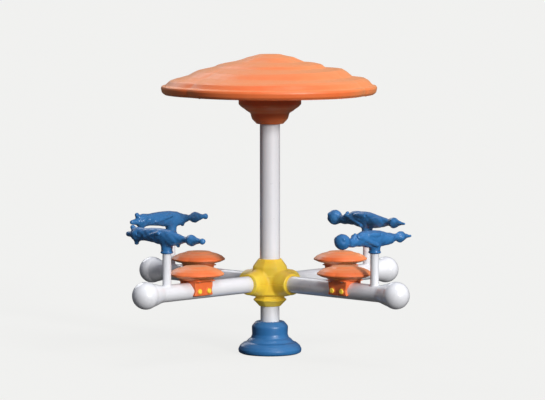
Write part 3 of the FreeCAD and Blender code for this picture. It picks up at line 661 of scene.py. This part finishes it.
def make_welds():
    """Beads where the grip posts stand on the arms."""
    grip_radius = GRIP_POST_RADIUS * MM
    for k in ARMS:
        ring = []
        count = 72
        for j in range(count):
            angle = 2 * math.pi * j / count
            x = grip_post_reach[k] + grip_radius * math.cos(angle)
            y = grip_radius * math.sin(angle)
            ring.append((x, y, shell_split + math.sqrt(arm_radius ** 2 - y ** 2)))
        vertices, faces = bead(ring, BEAD_RADIUS * MM)
        new_piece(f"grip_weld_{k}", turned_to(vertices, arm_bearing[k]), faces, white, CAROUSEL)


# ------------------------------------------------------------------------------------------------
# Seats, saddles and bolt caps
# ------------------------------------------------------------------------------------------------
SEAT_LOBES = 8
SEAT_RIM = 155
SEAT_RIM_UP = 32                 # the rim's middle, above the seat's underside
CHEEK_AT = 61                    # the saddle's outer faces, from the arm's axis
BOLT_AT = 36                     # the saddle's bolts, along the arm from its middle


def make_seats():
    """A disc seat: pointed rim, sloping shoulder, raised round middle, stepped cone below."""
    for k in ARMS:
        low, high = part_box(f"seat_{k}")
        base = low.z / MM
        top = high.z / MM
        rim = SEAT_RIM
        edge = base + SEAT_RIM_UP
        corners = [(30, base, 1), (92, base, 3), (95, base + 5, 2), (106, base + 12, 2),
                   (112, base + 15, 3), (128, base + 16, 6), (rim, edge - 4, 5),
                   (rim, edge + 3, 5), (138, edge + 18, 9), (112, edge + 30, 10), (87, top - 9, 8),
                   (79, top - 6, 5), (69, top - 1.5, 7), (50, top, 10), (0, top, 0),
                   (0, top - 6, 0), (54, top - 6, 6), (68, top - 11, 4), (76, top - 19, 4),
                   (110, edge + 15, 6), (134, edge + 8, 6), (rim - 7, edge + 2, 3),
                   (rim - 7, edge - 2, 3), (124, base + 22, 4), (105, base + 20, 3),
                   (91, base + 6, 3), (30, base + 6, 1)]
        outline = divided(rounded_outline(corners, 5), 7)

        def petals(angle, r, z):
            dip = 1 - abs(math.cos(SEAT_LOBES * angle / 2)) ** 0.7
            share = max(0.0, min(1.0, (r - 84) / 60)) if z > edge - 22 else 0.0
            return r * (1 - 0.035 * dip * share), z

        vertices, faces = lathe(outline, 192, petals)
        vertices = np.array(vertices) + np.array([seat_reach[k], 0, 0])
        new_piece(f"disc_seat_{k}", turned_to(vertices, arm_bearing[k]), faces, orange, CAROUSEL,
                  [f"seat_{k}"])


def saddle_field(p):
    """A saddle over the arm, in the arm's own frame with its middle at the origin of X."""
    split = shell_split / MM
    low, high = (corner.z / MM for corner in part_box("seat_saddle_1"))
    cheek = brick(p, (0, 0, (high - 6 + low) / 2), (70, CHEEK_AT, (high - 6 - low) / 2), 6)
    flange = brick(p, (0, 0, high - 3.2), (69.5, 79, 3.2), 2.5)
    body = blend_union(cheek, flange, 9)
    for side in (-1, 1):
        body = blend_cut(body, around(p, 1, (side * 97, 0, split + 5)) - 33, 6)
        for bolt in (-1, 1):
            pad = np.maximum(around(p, 1, (bolt * BOLT_AT, 0, split)) - 19,
                             np.abs(p[:, 1]) - CHEEK_AT - 1)
            body = blend_union(body, pad, 3)
    arm = around(p, 0, (0, 0, split)) - (arm_radius / MM + 0.2)
    return blend_cut(body, arm, 2)


def make_saddles():
    step = 2.5
    vertices, faces = surface_of(saddle_field, (-76, -84, 374), (76, 84, 471), step)
    for k in ARMS:
        placed = vertices * MM + np.array([seat_reach[k], 0, 0])
        new_piece(f"seat_bracket_{k}", turned_to(placed, arm_bearing[k]), faces, orange, CAROUSEL,
                  [f"seat_saddle_{k}"])


def make_bolt_caps():
    """Domed caps on both ends of the seat bolts, with a shallow ring and a recessed middle."""
    corners = [(0, 0.3, 0), (14.6, 0.3, 0.8), (14.9, 4, 1.5), (12.6, 8, 3), (5.5, 9.6, 1.5),
               (4.4, 8.4, 0.8), (0, 8.4, 0)]
    outline = rounded_outline(corners, 4)
    cap_vertices, cap_faces = lathe(outline, 40)
    cap = np.array(cap_vertices)
    vertices = []
    faces = []
    for k in ARMS:
        for along, side in product((-BOLT_AT, BOLT_AT), (-1, 1)):
            count = sum(len(v) for v in vertices)
            placed = np.column_stack([cap[:, 0] + seat_reach[k] + along * MM,
                                      side * (cap[:, 2] + (CHEEK_AT + 1) * MM),
                                      -side * cap[:, 1] + shell_split])
            vertices.append(turned_to(placed, arm_bearing[k]))
            faces += [[count + index for index in face] for face in cap_faces]
    new_piece("bolt_cap_domes", np.concatenate(vertices), faces, yellow, CAROUSEL, ["bolt_caps"])


# ------------------------------------------------------------------------------------------------
# Grips
# ------------------------------------------------------------------------------------------------
GRIP_HEIGHT = 713
GRIP_BORE_RADIUS = 24.4
GRIP_LOW = (-54, -338, 618)      # the box that holds a figure and its boss
GRIP_HIGH = (54, 312, 780)


def grip_boss(p, shape):
    """The round boss under a figure, with its bead round the foot and the bore for the post."""
    z = GRIP_HEIGHT
    boss = spindle(p, (0, 0, z - 80), (0, 0, z - 18), 31, 33)
    boss = blend_common(boss, z - 85.5 - p[:, 2], 4)
    foot = np.hypot(around(p, 2) - 30.5, p[:, 2] - z + 78) - 5
    shape = blend_union(shape, blend_union(boss, foot, 4), 16)
    bore = np.maximum(around(p, 2) - GRIP_BORE_RADIUS, p[:, 2] - z + 17)
    return blend_cut(shape, bore, 2)


def worked(p):
    """The low, uneven hand-carved relief that covers the figures."""
    return 1.5 * np.sin(p[:, 0] * 0.14 + 0.6) * np.sin(p[:, 1] * 0.115) * np.sin(p[:, 2] * 0.16)


def ball_headed(p):
    """Ball head, short neck, a body deepest in the middle with a folded band, and a pointed tail."""
    z = GRIP_HEIGHT
    head = ball(p, (0, -260.5, z - 4), 44)
    body = long_body(p, [(-250, -8, 25, 24), (-190, -13, 26, 24), (-150, -7, 31, 28),
                         (-111, 1, 40, 33), (-50, -3, 47, 38), (0, -4, 48, 38), (50, -6, 43, 36),
                         (95, -9, 35, 32), (135, -8, 27, 25), (178, -7, 17, 16)], z)
    shape = blend_union(head, body, 14)
    shape = blend_union(shape, spindle(p, (0, -166, z + 12), (0, -158, z + 28), 17, 10), 8)
    for side in (-1, 1):
        band = spindle(p, (side * 20, -150, z + 16), (side * 35, -18, z - 34), 13, 11)
        shape = blend_union(shape, band, 4)
        shape = blend_union(shape, egg(p, (side * 15, 82, z - 12), (24, 66, 31)), 5)
        shape = blend_union(shape, egg(p, (side * 26, -25, z + 20), (14, 62, 17)), 5)
        groove = spindle(p, (side * 42, -92, z + 26), (side * 47, 36, z - 20), 6, 6)
        shape = blend_cut(shape, groove, 4)
        shape = blend_cut(shape, ball(p, (side * 40, 20, z + 26), 9), 5)
        shape = blend_union(shape, ball(p, (side * 30, -277, z + 12), 10.5), 7)
        shape = blend_cut(shape, spindle(p, (side * 44, -248, z - 26), (side * 44, -232, z + 8), 4, 4), 4)
    lobe = blend_union(spindle(p, (0, 168, z - 6), (0, 210, z - 7), 14, 27),
                       spindle(p, (0, 210, z - 7), (0, 256, z - 7), 27, 12), 8)
    shape = blend_union(shape, blend_union(lobe, egg(p, (0, 210, z - 7), (15, 42, 31)), 6), 10)
    tip = spindle(p, (0, 246, z - 7), (0, 293, z - 7), 12, 6.3)
    return grip_boss(p, blend_union(shape, tip, 9) + worked(p))


def crowned(p):
    """A crown of three blunt points, a folded body deepest in the middle, waist, lobe and knob."""
    z = GRIP_HEIGHT
    shape = long_body(p, [(-266, 5, 28, 25), (-236, 7, 40, 33), (-205, 10, 37, 32),
                          (-178, 10, 35, 31), (-135, 11, 38, 34), (-60, 8, 44, 37), (0, 3, 47, 38),
                          (44, 2, 41, 35), (88, -2, 32, 29), (122, 0, 22, 20), (156, 1, 14, 14)], z)
    for tilt, reach in ((-48, 54), (0, 74), (84, 44)):
        angle = math.radians(tilt)
        end = (0, -238 - reach * math.cos(angle), z + 4 - reach * math.sin(angle))
        shape = blend_union(shape, spindle(p, (0, -238, z + 4), end, 26, 13), 10)
    shape = blend_union(shape, spindle(p, (0, 84, z - 12), (0, 92, z - 36), 17, 9), 9)
    for side in (-1, 1):
        shape = blend_union(shape, egg(p, (side * 22, -238, z + 10), (15, 22, 18)), 4)
        shape = blend_cut(shape, ball(p, (side * 34, -206, z + 14), 8), 4)
        band = spindle(p, (side * 24, -150, z - 2), (side * 35, -30, z + 28), 12, 11)
        shape = blend_union(shape, band, 4)
        shape = blend_union(shape, egg(p, (side * 17, 40, z - 8), (22, 60, 29)), 5)
        groove = spindle(p, (side * 44, -100, z - 26), (side * 46, 24, z + 22), 6, 6)
        shape = blend_cut(shape, groove, 4)
        shape = blend_cut(shape, ball(p, (side * 41, -6, z - 26), 9), 5)
    lobe = blend_union(spindle(p, (0, 148, z + 1), (0, 194, z + 1), 13, 28),
                       spindle(p, (0, 194, z + 1), (0, 250, z + 1), 28, 13), 8)
    shape = blend_union(shape, blend_union(lobe, egg(p, (0, 194, z + 1), (15, 44, 31)), 6), 10)
    knob = blend_union(spindle(p, (0, 238, z + 1), (0, 276, z + 1), 14, 12),
                       ball(p, (0, 282, z + 1), 16), 9)
    return grip_boss(p, blend_union(shape, knob, 8) + worked(p))


def make_grips():
    step = 2.6
    forms = {}
    for kind, field in (("ball_headed", ball_headed), ("crowned", crowned)):
        forms[kind] = surface_of(field, GRIP_LOW, GRIP_HIGH, step)
    for k in ARMS:
        bearing = arm_bearing[k]
        kind = "ball_headed" if math.cos(bearing) > 0 else "crowned"
        vertices, faces = forms[kind]
        facing = -1 if math.sin(bearing) > 0 else 1
        placed = vertices * MM * np.array([facing, facing, 1]) + np.array([grip_post_reach[k], 0, 0])
        new_piece(f"figure_grip_{k}", turned_to(placed, bearing), faces, blue, CAROUSEL,
                  [f"grip_{k}"])


# ------------------------------------------------------------------------------------------------
# Canopy
# ------------------------------------------------------------------------------------------------
LOBES = 3
LOBE_BEARING = math.radians(-83)
LOBE_DEPTH = 46
CANOPY_RADIUS = 625


def lobed(angle, r, rim):
    swing = abs(math.cos((angle - LOBE_BEARING) * LOBES / 2))
    return r - LOBE_DEPTH * (r / rim) * (1 - swing ** 0.8)


def make_canopy():
    """A hood that steps down from a flat crown in soft terraces, in three lobes."""
    top = canopy_high.z / MM
    bottom = canopy_low.z / MM
    rim = CANOPY_RADIUS
    tip = bottom + 33
    corners = [(0, top, 0), (62, top, 30), (92, top - 8, 30), (134, top - 16, 26),
               (160, top - 29, 22), (196, top - 45, 26), (262, top - 49, 26),
               (298, top - 57, 18), (324, top - 79, 20), (422, top - 84, 20),
               (446, top - 100, 20), (480, top - 130, 20), (546, top - 136, 20),
               (574, top - 150, 24), (602, top - 178, 22), (rim - 4, tip + 12, 12),
               (rim, tip - 2, 12), (rim - 5, bottom + 10, 9), (rim - 14, bottom, 6),
               (580, bottom, 2), (580, bottom + 6, 1), (rim - 28, bottom + 6, 3),
               (rim - 15, tip - 16, 8), (rim - 7, tip, 8), (rim - 12, tip + 12, 8),
               (596, top - 186, 18), (569, top - 157, 20), (542, top - 144, 18),
               (476, top - 137, 16), (441, top - 107, 16), (419, top - 92, 16),
               (320, top - 85, 20), (296, top - 64, 18), (259, top - 56, 20),
               (192, top - 52, 20), (156, top - 36, 18), (131, top - 23, 20),
               (90, top - 15, 20), (60, top - 7, 20), (0, top - 7, 0)]
    outline = divided(rounded_outline(corners, 6), 9)

    def moulded(angle, r, z):
        """Lobed, with an unevenness in the terraces that dies out toward the crown and the rim."""
        swell = math.sin(angle * 5 + 1.3) + 0.7 * math.sin(angle * 8 + r * 0.011)
        share = max(0.0, min(1.0, (r - 90) / 80, (rim - 36 - r) / 50))
        plain = top - 5 - 160 * (r / 600) ** 1.45
        evened = 0.42 + 0.36 * math.cos(angle - math.radians(212))
        height = z + (plain - z) * evened * share if z > bottom + 50 else z
        return lobed(angle, r, rim) + 5 * swell * share, height

    vertices, faces = lathe(outline, 256, moulded)
    new_piece("lobed_hood", vertices, faces, orange, CAROUSEL, ["canopy_hood"])


def make_soffit():
    """The underside pan, with low rings and radial ribs pressed into it."""
    low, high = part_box("canopy_soffit")
    bottom = low.z / MM
    top = high.z / MM
    rim = CANOPY_RADIUS
    inner = 67
    corners = [(inner, bottom, 0.5), (rim - 20, bottom, 1.5), (rim - 20, top - 0.3, 1.5),
               (inner, top - 0.3, 0.5)]
    outline = divided(rounded_outline(corners, 3), 10)

    def ribbed(angle, r, z):
        rib = max(0.0, math.cos(angle * 12)) ** 30
        ring = math.exp(-((r - 340) / 7) ** 2) + math.exp(-((r - 470) / 7) ** 2)
        inside = 1.0 if 200 < r < 545 else 0.0
        raise_by = 1.6 * min(1.0, rib + ring) * inside if z < bottom + 1 else 0.0
        return lobed(angle, r, rim), z + raise_by

    vertices, faces = lathe(outline, 288, ribbed)
    new_piece("underside_pan", vertices, faces, orange, CAROUSEL, ["canopy_soffit"])


def make_funnel():
    low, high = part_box("canopy_funnel")
    foot = low.z / MM
    top = high.z / MM
    opening = post_radius / MM + 0.6
    corners = [(opening, foot, 1), (76, foot, 3), (99, foot + 24, 3), (103, foot + 30, 4),
               (110, foot + 56, 3), (114, foot + 62, 4), (136, foot + 76, 3), (140, foot + 80, 3),
               (166, foot + 98, 6), (178, foot + 112, 8), (178, top, 1), (150, top, 1),
               (150, top - 6, 1), (172, top - 6, 3), (172, foot + 114, 6), (162, foot + 104, 6),
               (133, foot + 82, 4), (110, foot + 68, 4), (105, foot + 58, 3), (98, foot + 34, 3),
               (94, foot + 28, 3), (74, foot + 5, 3), (opening, foot + 5, 1)]
    outline = divided(rounded_outline(corners, 5), 6)
    vertices, faces = lathe(outline, 128)
    new_piece("stepped_funnel", vertices, faces, orange, CAROUSEL, ["canopy_funnel"])


# ------------------------------------------------------------------------------------------------
# Camera, floor and light
# ------------------------------------------------------------------------------------------------
def make_camera():
    data = bpy.data.cameras.new("camera")
    camera = bpy.data.objects.new("camera", data)
    bpy.context.scene.collection.objects.link(camera)
    data.sensor_width = 36
    focal_px = 3457.3
    data.lens = focal_px * data.sensor_width / 545
    data.clip_end = 2000
    pitch = math.radians(4.863)
    turn = math.radians(0.5)
    away = 19.5876
    aside = 0.0147
    above = 2.5425
    camera.location = (aside - away * math.sin(turn), -away * math.cos(turn), above)
    camera.rotation_euler = (math.pi / 2 - pitch, 0, -turn)
    bpy.context.scene.camera = camera


def make_floor():
    size = 400
    below = -0.3 * MM
    corners = [(x * size, y * size, below) for x, y in ((-1, -1), (1, -1), (1, 1), (-1, 1))]
    mesh = bpy.data.meshes.new("floor")
    mesh.from_pydata(corners, [], [(0, 1, 2, 3)])
    floor = bpy.data.objects.new("floor", mesh)
    bpy.context.scene.collection.objects.link(floor)
    material = bpy.data.materials.new("pale_floor")
    material.use_nodes = True
    nodes, links = material.node_tree.nodes, material.node_tree.links
    nodes.remove(nodes["Principled BSDF"])
    glow = nodes.new("ShaderNodeEmission")
    glow.inputs["Color"].default_value = (0.890, 0.890, 0.875, 1)
    lit = nodes.new("ShaderNodeBsdfDiffuse")
    lit.inputs["Color"].default_value = (0.80, 0.80, 0.79, 1)
    seen = nodes.new("ShaderNodeMixShader")
    seen.inputs["Fac"].default_value = 0.10
    links.new(glow.outputs["Emission"], seen.inputs[1])
    links.new(lit.outputs["BSDF"], seen.inputs[2])
    bounced = nodes.new("ShaderNodeBsdfDiffuse")
    bounced.inputs["Color"].default_value = (0.09, 0.09, 0.09, 1)
    path = nodes.new("ShaderNodeLightPath")
    mix = nodes.new("ShaderNodeMixShader")
    links.new(path.outputs["Is Camera Ray"], mix.inputs["Fac"])
    links.new(bounced.outputs["BSDF"], mix.inputs[1])
    links.new(seen.outputs["Shader"], mix.inputs[2])
    links.new(mix.outputs["Shader"], nodes["Material Output"].inputs["Surface"])
    mesh.materials.append(material)


def make_sun(name, azimuth, elevation, strength, softness, colour):
    """A far lamp. Azimuth 0 is behind the camera and 90 is on its right."""
    data = bpy.data.lights.new(name, "SUN")
    data.energy = strength
    data.angle = math.radians(softness)
    data.color = colour
    lamp = bpy.data.objects.new(name, data)
    a, e = math.radians(azimuth), math.radians(elevation)
    source = Vector((math.sin(a) * math.cos(e), -math.cos(a) * math.cos(e), math.sin(e)))
    lamp.rotation_mode = "QUATERNION"
    lamp.rotation_quaternion = source.to_track_quat("Z", "Y")
    bpy.context.scene.collection.objects.link(lamp)


def make_light():
    """A pale sky that fades to the horizon and to the left, a low key light from the right, a weaker
    high one, and a faint fill from behind."""
    scene = bpy.context.scene
    scene.view_settings.view_transform = "Standard"
    scene.view_settings.look = "None"
    world = bpy.data.worlds.new("studio")
    scene.world = world
    world.use_nodes = True
    nodes, links = world.node_tree.nodes, world.node_tree.links
    direction = nodes.new("ShaderNodeTexCoord").outputs["Generated"]
    parts = nodes.new("ShaderNodeSeparateXYZ")
    links.new(direction, parts.inputs["Vector"])
    background = nodes["Background"]
    background.inputs["Color"].default_value = (0.87, 0.90, 1.0, 1)
    fade = remap(nodes, links, parts.outputs["Z"], 0, 1, 0.04, 0.60)
    lean = remap(nodes, links, parts.outputs["X"], -1, 1, 0.70, 1.30)
    strength = nodes.new("ShaderNodeMath")
    strength.operation = "MULTIPLY"
    links.new(fade, strength.inputs[0])
    links.new(lean, strength.inputs[1])
    links.new(strength.outputs["Value"], background.inputs["Strength"])
    make_sun("low_key", 34, 18, 2.85, 12, (1.0, 0.985, 0.965))
    make_sun("high_key", 42, 67, 0.85, 30, (1.0, 0.985, 0.96))
    make_sun("back_fill", 205, 30, 0.5, 30, (0.95, 0.97, 1.0))


dress_cad_nodes()
make_camera()
make_base_cover()
make_hub()
make_ball_ends()
make_welds()
make_seats()
make_saddles()
make_bolt_caps()
make_grips()
make_canopy()
make_soffit()
make_funnel()
make_floor()
make_light()
